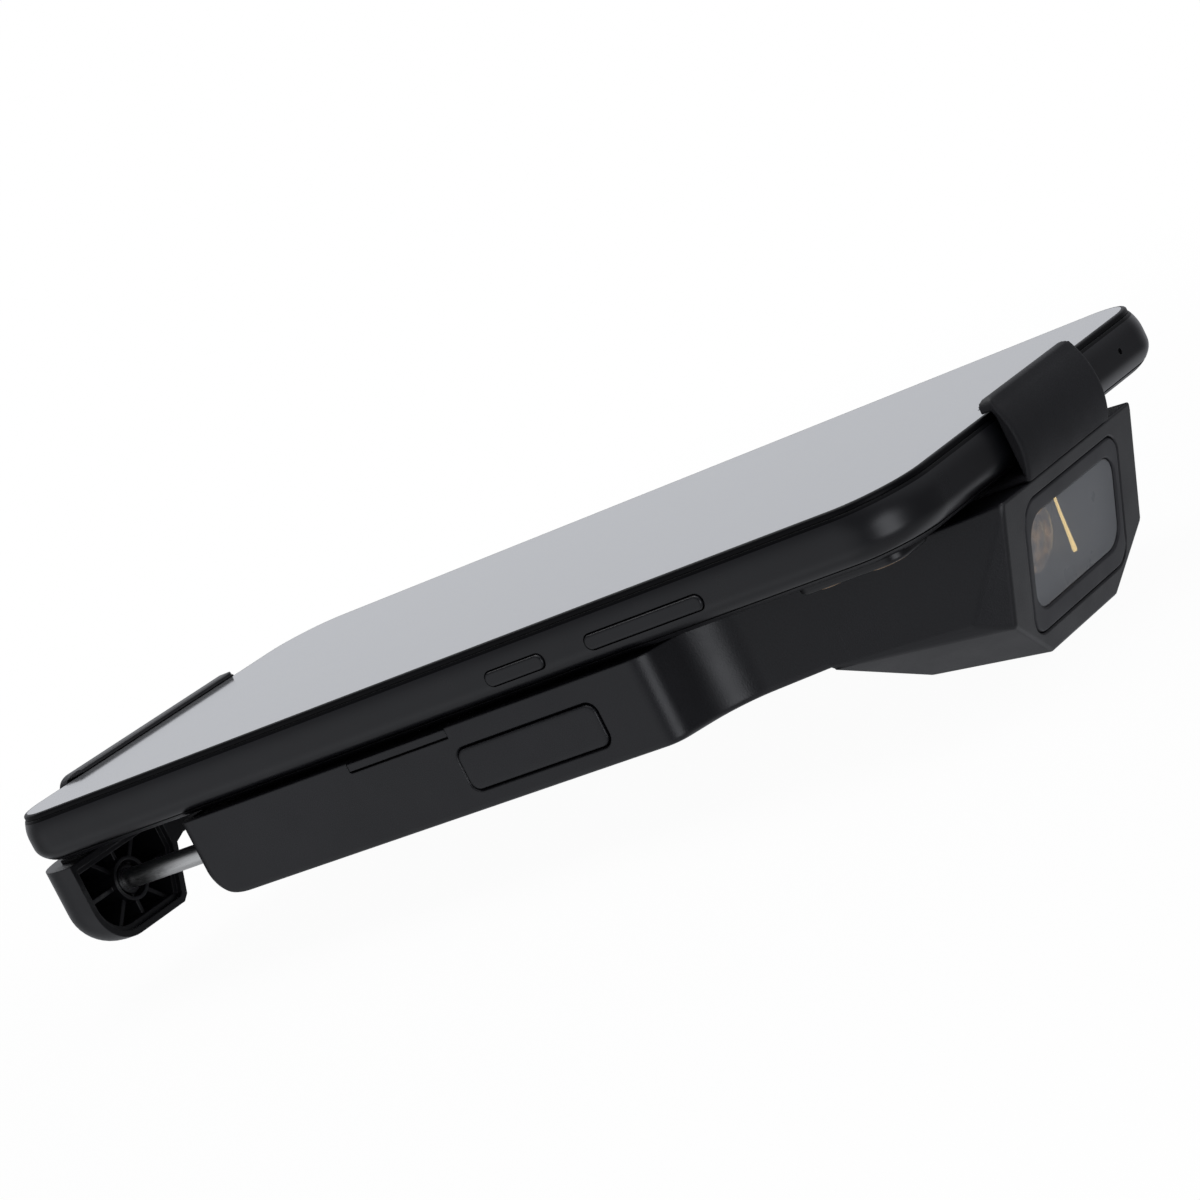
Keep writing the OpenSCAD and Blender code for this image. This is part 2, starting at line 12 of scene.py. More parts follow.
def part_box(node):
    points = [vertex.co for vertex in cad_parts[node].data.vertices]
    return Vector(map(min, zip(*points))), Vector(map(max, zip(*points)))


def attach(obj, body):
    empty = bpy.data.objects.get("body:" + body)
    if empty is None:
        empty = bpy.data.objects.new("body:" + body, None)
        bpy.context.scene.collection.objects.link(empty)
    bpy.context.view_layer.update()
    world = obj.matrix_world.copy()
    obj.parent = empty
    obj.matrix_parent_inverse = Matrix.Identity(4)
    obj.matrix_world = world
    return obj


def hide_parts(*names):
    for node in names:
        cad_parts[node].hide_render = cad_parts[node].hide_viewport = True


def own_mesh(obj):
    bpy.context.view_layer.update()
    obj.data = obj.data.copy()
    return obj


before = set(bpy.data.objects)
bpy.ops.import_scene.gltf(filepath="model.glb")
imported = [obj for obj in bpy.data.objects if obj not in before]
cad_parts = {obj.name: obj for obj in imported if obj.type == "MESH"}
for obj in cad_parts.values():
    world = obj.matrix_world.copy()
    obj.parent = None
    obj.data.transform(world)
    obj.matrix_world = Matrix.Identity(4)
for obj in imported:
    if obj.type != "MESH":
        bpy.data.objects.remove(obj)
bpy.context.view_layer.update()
MM = 0.001
ARC = 14            # points on a quarter turn of an outline


# ---- Places, from the frame ----

def box_mm(node):
    low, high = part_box(node)
    return low / MM, high / MM


phone_low, phone_high = box_mm("phone_frame")
glass_low, glass_high = box_mm("screen_glass")
cover_low, cover_high = box_mm("phone_back_cover")
shell_low, shell_high = box_mm("lower_shell")
clamp_low, clamp_high = box_mm("clamp_block")
hook_low, hook_high = box_mm("top_hook")
rod_low, rod_high = box_mm("guide_rod_left")
trigger_low, trigger_high = box_mm("trigger_left")
power_low, power_high = box_mm("power_button")
volume_low, volume_high = box_mm("volume_rocker")
camera_low, camera_high = box_mm("rear_camera")

phone_mid_x = (phone_low.x + phone_high.x) / 2
phone_half_l = (phone_high.x - phone_low.x) / 2
phone_half_w = phone_high.y
back_z = cover_low.z
screen_z = glass_high.z
grip_x0 = shell_low.x
grip_half_w = shell_high.y
grip_top = shell_high.z
head_x = shell_high.x
rod_y = (rod_low.y + rod_high.y) / 2
rod_z = (rod_low.z + rod_high.z) / 2
rod_r = (rod_high.z - rod_low.z) / 2

PHONE_CORNER_R = 10
GRIP_BOTTOM = 10.6
HEAD_TOP = 21.4
HEAD_HALF_W = 18.7
FACE_TILT = math.radians(22)        # how far the scan face leans back under its top edge
WALL = 1.8
FAR_X, FAR = 100, 60                # past the object's end and its other sides, for cutting solids
OPEN_TOP = 40                       # where the solids that open the shell upwards end


# ---- Outlines, as lists of 2D points, counterclockwise ----

def arc(cx, cy, r, start, end, n=ARC):
    turn = math.radians(end - start) / n
    first = math.radians(start)
    return [Vector((cx + r * math.cos(first + turn * i), cy + r * math.sin(first + turn * i)))
            for i in range(n + 1)]


def points(*pairs):
    return [Vector(p) for p in pairs]


def unit(degrees):
    a = math.radians(degrees)
    return Vector((math.cos(a), math.sin(a)))


def flip_x(outline):
    return [Vector((-p.x, p.y)) for p in reversed(outline)]


def flip_y(outline):
    return [Vector((p.x, -p.y)) for p in reversed(outline)]


def shift(outline, x, y):
    return [Vector((p.x + x, p.y + y)) for p in outline]


def round_rect(w, h, r, n=8):
    x, y = w / 2 - r, h / 2 - r
    return (arc(x, y, r, 0, 90, n) + arc(-x, y, r, 90, 180, n)
            + arc(-x, -y, r, 180, 270, n) + arc(x, -y, r, 270, 360, n))


def inset(outline, t):
    """The outline moved in by t, with mitred corners."""
    moved = []
    for i, p in enumerate(outline):
        before = (p - outline[i - 1]).normalized()
        after = (outline[(i + 1) % len(outline)] - p).normalized()
        a, b = Vector((-before.y, before.x)), Vector((-after.y, after.x))
        moved.append(p + (a + b) * t / (1 + a.dot(b)))
    return moved


# ---- Meshes ----

def new_object(name, verts, faces):
    mesh = bpy.data.meshes.new(name)
    mesh.from_pydata([Vector(v) * MM for v in verts], [], faces)
    obj = bpy.data.objects.new(name, mesh)
    bpy.context.scene.collection.objects.link(obj)
    tidy_normals(obj)
    return obj


def tidy_normals(obj):
    bm = bmesh.new()
    bm.from_mesh(obj.data)
    bmesh.ops.remove_doubles(bm, verts=bm.verts, dist=1e-6)
    bmesh.ops.recalc_face_normals(bm, faces=bm.faces)
    bm.to_mesh(obj.data)
    bm.free()


def loft(name, rings, closed=False):
    """Quads between rings of equally many points, with a cap on each end unless closed."""
    n = len(rings[0])
    verts = [p for ring in rings for p in ring]
    spans = len(rings) if closed else len(rings) - 1
    faces = []
    for k in range(spans):
        lower, upper = k * n, (k + 1) % len(rings) * n
        faces += [(lower + i, lower + (i + 1) % n, upper + (i + 1) % n, upper + i) for i in range(n)]
    if not closed:
        faces += [tuple(range(n)), tuple(range(len(verts) - 1, len(verts) - n - 1, -1))]
    return new_object(name, verts, faces)


def along_z(outline, z):
    return [(p.x, p.y, z) for p in outline]


def along_y(outline, y):
    return [(p.x, y, p.y) for p in outline]


def along_x(outline, x):
    return [(x, p.x, p.y) for p in outline]


def prism(name, outline, axis, low, high):
    return loft(name, [axis(outline, low), axis(outline, high)])


FACE_OUT = Vector((math.cos(FACE_TILT), 0, -math.sin(FACE_TILT)))
FACE_DOWN = Vector((-math.sin(FACE_TILT), 0, -math.cos(FACE_TILT)))


def on_face(y, s, depth=0.0):
    """A point on the scan face: y across, s down from its top edge, depth out of the face."""
    return Vector((head_x, y, HEAD_TOP)) + FACE_DOWN * s + FACE_OUT * depth


def face_ring(half_w, s0, s1, r, depth, n=8):
    mid = (s0 + s1) / 2
    return [on_face(p.x, mid - p.y, depth) for p in round_rect(2 * half_w, s1 - s0, r, n)]


def lathe(name, profile, centre, axis="x", turns=48):
    """A solid of revolution about X or Z from (distance along the axis, radius) pairs."""
    rings = []
    for along, r in profile:
        ring = []
        for i in range(turns):
            a = 2 * math.pi * i / turns
            u, v = r * math.cos(a), r * math.sin(a)
            p = (along, u, v) if axis == "x" else (u, v, along)
            ring.append(tuple(c + q for c, q in zip(centre, p)))
        rings.append(ring)
    return loft(name, rings)


def apply_modifiers(obj):
    graph = bpy.context.evaluated_depsgraph_get()
    mesh = bpy.data.meshes.new_from_object(obj.evaluated_get(graph))
    obj.modifiers.clear()
    obj.data = mesh
    return obj


def join(pieces):
    first = pieces[0]
    bm = bmesh.new()
    for p in pieces:
        bm.from_mesh(p.data)
    bm.to_mesh(first.data)
    bm.free()
    for p in pieces[1:]:
        bpy.data.objects.remove(p)
    return first


def combine(obj, other, operation):
    """Applies one boolean and removes the other solid."""
    modifier = obj.modifiers.new("combine", "BOOLEAN")
    modifier.object = other
    modifier.operation = operation
    modifier.solver = "MANIFOLD"
    apply_modifiers(obj)
    bpy.data.objects.remove(other)
    return obj


def cut(obj, *cutters):
    for c in cutters:
        combine(obj, c, "DIFFERENCE")
    return obj


def bevel(obj, width, segments=3, angle=28):
    modifier = obj.modifiers.new("bevel", "BEVEL")
    modifier.width = width * MM
    modifier.segments = segments
    modifier.limit_method = "ANGLE"
    modifier.angle_limit = math.radians(angle)
    return apply_modifiers(obj)


def smooth(obj, angle=32):
    mesh = obj.data
    mesh.polygons.foreach_set("use_smooth", [True] * len(mesh.polygons))
    mesh.set_sharp_from_angle(angle=math.radians(angle))
    obj.modifiers.new("weighted", "WEIGHTED_NORMAL").keep_sharp = True
    return obj


# ---- Materials ----

class Nodes:
    """A short way to write a node tree for one material."""

    def __init__(self, name):
        self.material = bpy.data.materials.new(name)
        self.material.use_nodes = True
        self.tree = self.material.node_tree
        self.shader = self.tree.nodes["Principled BSDF"]
        self.place = self.add("ShaderNodeTexCoord").outputs["Object"]

    def add(self, kind, **inputs):
        node = self.tree.nodes.new(kind)
        for key, value in inputs.items():
            socket = node.inputs[key.replace("_", " ")]
            if isinstance(value, bpy.types.NodeSocket):
                self.tree.links.new(value, socket)
            else:
                socket.default_value = value
        return node

    def link(self, a, b):
        self.tree.links.new(a, b)

    def noise(self, scale, detail=3.0, stretch=(1, 1, 1)):
        mapped = self.add("ShaderNodeMapping", Vector=self.place, Scale=stretch)
        node = self.add("ShaderNodeTexNoise", Vector=mapped.outputs["Vector"], Scale=scale, Detail=detail)
        return node.outputs["Fac"]

    def ramp(self, value, low, high, start=0.3, end=0.7):
        node = self.add("ShaderNodeMapRange", Value=value, From_Min=start, From_Max=end,
                        To_Min=low, To_Max=high)
        return node.outputs["Result"]

    def colours(self, value, first, second, start=0.35, end=0.65):
        node = self.add("ShaderNodeValToRGB", Fac=value)
        low, high = node.color_ramp.elements
        low.position, low.color = start, (*first, 1)
        high.position, high.color = end, (*second, 1)
        return node.outputs["Color"]

    def bump(self, height, distance, normal=None):
        node = self.add("ShaderNodeBump", Height=height, Distance=distance * MM, Strength=1.0)
        if normal is not None:
            self.link(normal, node.inputs["Normal"])
        return node.outputs["Normal"]


def plastic(name, colour, rough, grain=0.02, grain_size=5000, edge=0.25, spread=0.12, coat=0.0,
            specular=0.5):
    """Moulded plastic: spark-eroded grain, soft edges, and a little change in gloss and shade."""
    n = Nodes(name)
    broad = n.noise(45, 4)
    lighter = tuple(min(1, c * (1 + spread)) for c in colour)
    darker = tuple(c * (1 - spread) for c in colour)
    n.link(n.colours(broad, darker, lighter), n.shader.inputs["Base Color"])
    handled = n.noise(160, 5)
    n.link(n.ramp(handled, rough * 0.88, rough * 1.12), n.shader.inputs["Roughness"])
    soft = n.add("ShaderNodeBevel", Radius=edge * MM).outputs["Normal"]
    n.link(n.bump(n.noise(grain_size, 2), grain, soft), n.shader.inputs["Normal"])
    n.shader.inputs["Specular IOR Level"].default_value = specular
    n.shader.inputs["Coat Weight"].default_value = coat
    n.shader.inputs["Coat Roughness"].default_value = 0.08
    return n.material


def metal(name, colour, rough, stretch=(1, 30, 30)):
    """Ground metal with fine marks along X."""
    n = Nodes(name)
    marks = n.noise(900, 5, stretch)
    n.link(n.colours(marks, tuple(c * 0.82 for c in colour), colour), n.shader.inputs["Base Color"])
    n.link(n.ramp(marks, rough * 0.8, rough * 1.25), n.shader.inputs["Roughness"])
    n.link(n.bump(marks, 0.004), n.shader.inputs["Normal"])
    n.shader.inputs["Metallic"].default_value = 1.0
    return n.material


def glass(name, colour, rough, ior=1.5, alpha=1.0, glow=0.0):
    """Tinted glass with faint smudges; alpha lets one see into it, glow lights it from within."""
    n = Nodes(name)
    smudge = n.noise(90, 6)
    n.link(n.ramp(smudge, rough, rough * 2.4), n.shader.inputs["Roughness"])
    tint = n.colours(n.noise(30, 2), colour, tuple(c * 1.08 for c in colour))
    n.link(tint, n.shader.inputs["Base Color"])
    n.shader.inputs["IOR"].default_value = ior
    n.shader.inputs["Alpha"].default_value = alpha
    n.shader.inputs["Emission Color"].default_value = (*colour, 1)
    n.shader.inputs["Emission Strength"].default_value = glow
    return n.material


def coated_lens(name):
    """A lens with a mottled, coppery coating, which glows a little in its own colour: painted light."""
    n = Nodes(name)
    mottle = n.noise(520, 3)
    coating = n.colours(mottle, (0.1, 0.07, 0.05), (0.62, 0.38, 0.17), 0.42, 0.66)
    n.link(coating, n.shader.inputs["Base Color"])
    # Painted glow: the coating's colour is emitted at strength 0.3
    n.link(coating, n.shader.inputs["Emission Color"])
    n.shader.inputs["Emission Strength"].default_value = 0.3
    n.link(n.ramp(mottle, 0.1, 0.3), n.shader.inputs["Roughness"])
    n.link(n.bump(mottle, 0.15), n.shader.inputs["Normal"])
    n.shader.inputs["Coat Weight"].default_value = 0.6
    return n.material


def circuit_board(name):
    """Green solder mask with faint square tracks."""
    n = Nodes(name)
    brick = n.add("ShaderNodeTexBrick", Vector=n.place, Scale=420.0)
    brick.inputs["Color1"].default_value = (0.012, 0.09, 0.045, 1)
    brick.inputs["Color2"].default_value = (0.016, 0.11, 0.05, 1)
    brick.inputs["Mortar"].default_value = (0.05, 0.2, 0.09, 1)
    n.link(brick.outputs["Color"], n.shader.inputs["Base Color"])
    n.link(n.ramp(n.noise(300), 0.25, 0.4), n.shader.inputs["Roughness"])
    n.link(n.bump(brick.outputs["Fac"], 0.02), n.shader.inputs["Normal"])
    return n.material


BLACK = (0.0125, 0.0125, 0.0155)
GLOSS_BLACK = (0.01, 0.01, 0.0125)
housing = plastic("housing_plastic", BLACK, 0.36)
key_plastic = plastic("key_plastic", BLACK, 0.36)
hook_plastic = plastic("hook_soft_touch", (0.018, 0.018, 0.021), 0.55, grain=0.03, specular=0.35)
bezel_plastic = plastic("bezel_plastic", (0.028, 0.028, 0.033), 0.45, grain=0.01)
rubber = plastic("rubber", (0.012, 0.012, 0.013), 0.8, grain=0.05, grain_size=2500)
frame_gloss = plastic("phone_frame_gloss", GLOSS_BLACK, 0.3, grain=0.002, edge=0.12)
back_gloss = plastic("phone_back_gloss", GLOSS_BLACK, 0.4, grain=0.002, edge=0.12, specular=0.25)
# Near-black: the cover glass's dark edge, and painted shade on a band round the top of the phone's frame
dark_rim_and_painted_shade = plastic("glass_edge_black_and_painted_shade", (0.003, 0.003, 0.004), 0.4, grain=0.001, edge=0.1,
                    specular=0.12)
chip_plastic = plastic("chip_plastic", (0.02, 0.02, 0.02), 0.6, grain=0.02)
battery_film = plastic("battery_film", (0.05, 0.06, 0.09), 0.3, grain=0.004)
light_plastic = plastic("light_pipe", (0.75, 0.78, 0.82), 0.25, grain=0.004)
steel = metal("rod_steel", (0.9, 0.9, 0.88), 0.34)
screw_steel = metal("screw_steel", (0.32, 0.32, 0.33), 0.3, (6, 6, 6))
bronze = metal("bush_bronze", (0.42, 0.3, 0.14), 0.4, (4, 4, 4))
module_metal = metal("module_metal", (0.3, 0.3, 0.32), 0.35, (4, 4, 4))
board = circuit_board("board_mask")
screen_glass = plastic("screen_glass", (0.335, 0.34, 0.355), 0.12, grain=0.0005, grain_size=400,
                       edge=0.1, spread=0.01, coat=1.0)
window_glass = glass("window_glass", (0.54, 0.555, 0.58), 0.2, alpha=0.42)
engine_grey = plastic("engine_grey", (0.05, 0.05, 0.055), 0.5, grain=0.004)
# glow=1.6 is painted light: it makes the amber bar bright behind the pane
amber_glass_painted_glow = glass("amber_glass_painted_glow", (0.98, 0.72, 0.3), 0.1, glow=1.6)
# glow=0.05 is a faint painted glow in the lens's brown colour
lens_glass_painted_glow = glass("lens_glass_painted_glow", (0.3, 0.19, 0.1), 0.08, ior=1.7, glow=0.05)
copper_lens_painted_glow = coated_lens("scan_lens_coating_painted_glow")


def dress(obj, material, body, slot, *nodes, second=None):
    """Gives a finished piece its material and body, and hides the CAD nodes it stands for. The slot
    argument is not used.
    """
    places = [f.material_index for f in obj.data.polygons]
    obj.data.materials.clear()
    obj.data.materials.append(material)
    if second:
        obj.data.materials.append(second)
        obj.data.polygons.foreach_set("material_index", places)
    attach(obj, body)
    if nodes:
        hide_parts(*nodes)
    return obj


def keep(node, material):
    """A CAD node that stays as it is, with a better material."""
    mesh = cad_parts[node].data
    mesh.materials.clear()
    mesh.materials.append(material)


# ---- Phone ----

ROUND_GAP = 0.01            # leaves a round end's two arcs a little apart


def phone_ring(margin, z):
    outline = round_rect(2 * (phone_half_l - margin), 2 * (phone_half_w - margin),
                         PHONE_CORNER_R - margin, ARC)
    return along_z(shift(outline, phone_mid_x, 0), z)


seam_z = cover_high.z
side_z = back_z + 3.4       # the phone's side is upright from here
frame_top = glass_low.z
crown_z = frame_top - 2.85  # up to here
CROWN_IN = 0.75             # how far the side has curved in at the glass
BELLY_IN = 4.6              # and at the back
PAINTED_SHADE_BAND_H = 0.6              # painted shade: near-black band round the top of the phone's frame, darkening its upper part


def edge_margin(z):
    """How far the phone's side has curved in at height z, above and below its upright part."""
    if z > crown_z:
        return CROWN_IN * ((z - crown_z) / (frame_top - crown_z)) ** 2
    if z >= side_z:
        return 0.0
    drop = (side_z - z) / (side_z - back_z)
    return BELLY_IN * (1 - math.sqrt(max(0.0, 1 - drop * drop)))


def slot_cutter(low, high, gap, y_mid, deep=2.2):
    """A round-ended cutter for a key or tray, wider than its box by gap on every side."""
    w, h = high.x - low.x + 2 * gap, high.z - low.z
    outline = round_rect(w, h + 2 * gap, h / 2 + gap - ROUND_GAP)
    placed = shift(outline, (low.x + high.x) / 2, (low.z + high.z) / 2)
    return prism("cut", placed, along_y, y_mid - deep, y_mid + deep)


def cut_phone_openings(obj):
    """The frame's key slots, card slot, microphone hole and charging socket."""
    card_low, card_high = box_mm("sim_tray")
    cut(obj, slot_cutter(power_low, power_high, 0.16, -phone_half_w),
        slot_cutter(volume_low, volume_high, 0.18, -phone_half_w),
        slot_cutter(card_low, card_high, 0.07, phone_half_w, 1.5))
    mic_y, mic_z, mic_r = 23, (back_z + screen_z) / 2 + 0.2, 0.45
    mic_hole = lathe("cut", [(-3, mic_r), (3, mic_r)], (phone_high.x, mic_y, mic_z), "x", 20)
    socket_low, socket_high = box_mm("phone_socket")
    opening = shift(round_rect(9.1, 3.1, 1.5), 0, (socket_low.z + socket_high.z) / 2)
    cut(obj, mic_hole, prism("cut", opening, along_x, phone_low.x - 1, socket_high.x + 0.1))


def make_phone_frame():
    belly_steps, crown_steps = 12, 8
    low, high = seam_z + 0.18, frame_top - 0.14
    rings = [phone_ring(edge_margin(seam_z) + 2.0, seam_z + 0.12),
             phone_ring(edge_margin(seam_z + 0.12) + 0.15, seam_z + 0.12)]
    levels = [low + (side_z - low) * i / belly_steps for i in range(belly_steps + 1)]
    levels += [crown_z + (high - crown_z) * i / crown_steps for i in range(crown_steps + 1)]
    rings += [phone_ring(edge_margin(z), z) for z in levels]
    rings += [phone_ring(0.76, frame_top - 0.07), phone_ring(0.86, frame_top - 0.05),
              phone_ring(2.0, frame_top - 0.05)]
    obj = loft("phone_side_frame", rings)
    cut_phone_openings(obj)
    # Faces in the top band get the near-black second material: painted shade on the frame's upper part
    for face in obj.data.polygons:
        face.material_index = 1 if face.center.z > (frame_top - PAINTED_SHADE_BAND_H) * MM else 0
    return smooth(obj, 40)


def make_back_cover():
    steps = 14
    rings = []
    for i in range(steps + 1):
        z = back_z + (seam_z - back_z) * (i / steps) ** 2
        rings.append(phone_ring(edge_margin(z), z))
    rings.append(phone_ring(edge_margin(seam_z) + 0.12, seam_z + 0.05))
    rings.append(phone_ring(edge_margin(seam_z) + 2.0, seam_z + 0.05))
    return smooth(loft("phone_back", rings), 40)


def make_glass():
    rim = [(0.86, frame_top - 0.04), (0.82, frame_top + 0.1), (0.82, screen_z - 0.42),
           (0.85, screen_z - 0.28), (0.92, screen_z - 0.15), (1.04, screen_z - 0.06),
           (1.2, screen_z - 0.01), (1.45, screen_z)]
    obj = loft("screen_cover_glass", [phone_ring(m, z) for m, z in rim])
    slit_low, slit_high = box_mm("earpiece_grille")
    mid_x, slit_w = (slit_low.x + slit_high.x) / 2, slit_high.x - slit_low.x
    slit = shift(round_rect(slit_w, slit_high.y - slit_low.y, slit_w / 2 - ROUND_GAP), mid_x, 0)
    smooth(cut(obj, prism("cut", slit, along_z, screen_z - 0.35, screen_z + 1)), 40)
    for face in obj.data.polygons:
        face.material_index = 0 if face.center.z > (screen_z - 0.003) * MM else 1
    return obj


def make_side_key(name, low, high):
    """A bar in the phone's near side, with a softly crowned face."""
    w, h = high.x - low.x, high.z - low.z
    mid_x, mid_z = (low.x + high.x) / 2, (low.z + high.z) / 2
    rings = []
    for margin, y in ((0, high.y), (0, low.y + 0.35), (0.04, low.y + 0.2), (0.13, low.y + 0.08),
                      (0.28, low.y + 0.02), (0.5, low.y)):
        outline = round_rect(w - 2 * margin, h - 2 * margin, h / 2 - margin - ROUND_GAP)
        rings.append(along_y(shift(outline, mid_x, mid_z), y))
    return smooth(loft(name, rings), 50)


REAR_LENSES = (-4, 4)       # along X from the camera island's middle


def make_rear_camera():
    mid_x, mid_y = (camera_low.x + camera_high.x) / 2, (camera_low.y + camera_high.y) / 2
    w, h = camera_high.x - camera_low.x, camera_high.y - camera_low.y
    rings = []
    for margin, z in ((0.1, back_z + 1), (0, back_z - 0.3), (0.06, camera_low.z + 0.22),
                      (0.2, camera_low.z + 0.07), (0.4, camera_low.z)):
        outline = round_rect(w - 2 * margin, h - 2 * margin, 2.9 - margin)
        rings.append(along_z(shift(outline, mid_x, mid_y), z))
    obj = loft("camera_island", rings)
    for dx in REAR_LENSES:
        cut(obj, lathe("cut", [(-1, 2.9), (0.35, 2.9)], (mid_x + dx, mid_y, camera_low.z), "z", 40))
    return smooth(obj)


def make_camera_lenses():
    mid_x, mid_y = (camera_low.x + camera_high.x) / 2, (camera_low.y + camera_high.y) / 2
    profile = [(0.34, 2.85), (-0.28, 2.85), (-0.32, 2.8), (-0.32, 2.35), (-0.1, 2.1),
               (-0.02, 1.5), (-0.12, 0.9), (-0.16, 0.05)]
    lenses = [lathe("camera_lens_glass", profile, (mid_x + dx, mid_y, camera_low.z), "z", 40)
              for dx in REAR_LENSES]
    return smooth(join(lenses), 25)


# ---- Sled ----

SHOULDER_R = 3.5        # outer corner where the grip turns in to the neck
WAIST_R = 9.6           # hollow after it
FLANK = 3.4             # straight stretch between the two arcs
TURN = 25               # direction of that stretch's outward side, degrees from X
TAPER = 13.2            # lean of the neck's straight side, degrees
HEEL_R = 4.5            # lower edge of the grip's clamp end
KEEL_R = 0.8            # its other lower edges
CHIN_HALF = 9.6
shoulder_x = grip_x0 + 87.1
shoulder_c = Vector((shoulder_x - SHOULDER_R, grip_half_w - SHOULDER_R))
out_dir = unit(TURN)
waist_c = shoulder_c + (SHOULDER_R + WAIST_R) * out_dir + FLANK * Vector((out_dir.y, -out_dir.x))
waist_end = waist_c + WAIST_R * unit(270 - TAPER)


def neck_half(x):
    """Half the neck's width at x, on its straight side from the waist to the scan face."""
    return HEAD_HALF_W + (head_x - x) * (waist_end.y - HEAD_HALF_W) / (head_x - waist_end.x)


def top_line(x):
    """Height of the neck's open top at x, falling from behind the shoulder to the scan face."""
    start = shoulder_x + 4
    return HEAD_TOP + (grip_top - 0.5 - HEAD_TOP) * (head_x - x) / (head_x - start)


def rounded_in(z, floor, r):
    """How far a lower edge of radius r, standing on floor, has curved in at height z."""
    rest = max(0.0, floor + r - z)
    return r - math.sqrt(max(0.0, r * r - rest * rest))


def rounded_levels(floor, r, n=8):
    return [floor + r * (1 - math.cos(math.radians(90 * i / n))) for i in range(n + 1)]


def sled_plan(end_x, end_r=3.0):
    half = ([Vector((head_x, neck_half(head_x)))]
            + arc(waist_c.x, waist_c.y, WAIST_R, 270 - TAPER, 180 + TURN)
            + arc(shoulder_c.x, shoulder_c.y, SHOULDER_R, TURN, 90)
            + arc(end_x + end_r, grip_half_w - end_r, end_r, 90, 180))
    return half + flip_y(half)


def grip_ring(z, shrink=0.0, floor=GRIP_BOTTOM):
    """The grip's outline at height z: its clamp end is heeled and its lower edge rounded."""
    end_x = grip_x0 + rounded_in(z, floor, HEEL_R)
    return along_z(inset(sled_plan(end_x), shrink + rounded_in(z, floor, KEEL_R)), z)


def make_grip_solid(shrink, floor, top, name):
    levels = rounded_levels(floor, KEEL_R, 6)
    levels += [z for z in rounded_levels(floor, HEEL_R, 20) if z > floor + KEEL_R]
    rings = [grip_ring(z, shrink, floor) for z in levels]
    if shrink == 0:
        rings += [grip_ring(top - 0.25), grip_ring(top - 0.07, 0.07), grip_ring(top, 0.25)]
    else:
        rings.append(grip_ring(top, shrink, floor))
    return loft(name, rings)


def head_points():
    """Corners of the head's hull on its +Y side."""
    start_x, jaw_x = 53.5, 72.5
    brow = Vector((head_x, HEAD_HALF_W, HEAD_TOP))
    cheek = on_face(HEAD_HALF_W, 16.2)
    chin = on_face(CHIN_HALF, HEAD_TOP / math.cos(FACE_TILT))
    jaw = Vector((jaw_x, neck_half(jaw_x) - 0.05, 8.7))
    throat = Vector((59.8, 15, 3.3))
    nape = [Vector((start_x, neck_half(start_x), z)) for z in (GRIP_BOTTOM, top_line(start_x))]
    return [brow, cheek, chin, jaw, throat, *nape]


def make_head_solid():
    bm = bmesh.new()
    for p in head_points():
        for side in (-1, 1):
            bm.verts.new(Vector((p.x, p.y * side, p.z)) * MM)
    bmesh.ops.convex_hull(bm, input=bm.verts)
    bmesh.ops.dissolve_limit(bm, angle_limit=math.radians(1.5), verts=bm.verts, edges=bm.edges)
    mesh = bpy.data.meshes.new("head")
    bm.to_mesh(mesh)
    bm.free()
    obj = bpy.data.objects.new("head", mesh)
    bpy.context.scene.collection.objects.link(obj)
    return bevel(obj, 0.45, 3, 8)


# Half width, top edge and bottom edge of the scan face's two frames, down from its top
BEZEL = (13.7, 2.2, 19.9)
PANE = (12.2, 4.6, 17.0)
WINDOW_R = 3.0
SCREW_SPOTS = ((-34, 32.5), (33, 31), (47.5, 20))
TRIGGER_FLANGE = 0.8    # of the key, hidden all round behind the wall


def framed(size, margin, depth):
    """A ring on the scan face, margin inside the edge of BEZEL or PANE."""
    half_w, top, bottom = size
    return face_ring(half_w - margin, top + margin, bottom - margin, WINDOW_R - margin, depth)


def trigger_rings(steps, side):
    """Outlines of a trigger key, from (margin, distance out of the grip's side) pairs."""
    mid_x, mid_z = (trigger_low.x + trigger_high.x) / 2, (trigger_low.z + trigger_high.z) / 2
    w = trigger_high.x - trigger_low.x - 2 * TRIGGER_FLANGE
    h = trigger_high.z - trigger_low.z - 2 * TRIGGER_FLANGE
    rings = []
    for margin, out in steps:
        outline = round_rect(w - 2 * margin, h - 2 * margin, 1.4 - margin)
        rings.append(along_y(shift(outline, mid_x, mid_z), side * (grip_half_w + out)))
    return rings


def beyond(x):
    """A solid that takes away everything past x."""
    return prism("cut", points((x, -5), (FAR_X, -5), (FAR_X, FAR), (x, FAR)), along_y, -FAR, FAR)


def cut_scan_window(shell):
    """The dark chamber behind the scan face, the window into it and the bezel's recess."""
    half_w, top, bottom = PANE
    chamber = loft("cut", [face_ring(13.4, 3.0, 18.4, 2, depth) for depth in (-15, -1.9)])
    window = loft("cut", [face_ring(half_w + 0.6, top - 0.6, bottom + 0.6, WINDOW_R, depth)
                          for depth in (-4, 3)])
    recess = loft("cut", [framed(BEZEL, margin, depth)
                          for margin, depth in ((0, -1.2), (0, -0.2), (-0.2, 0.02), (-0.2, 3))])
    cut(shell, chamber, window, recess)


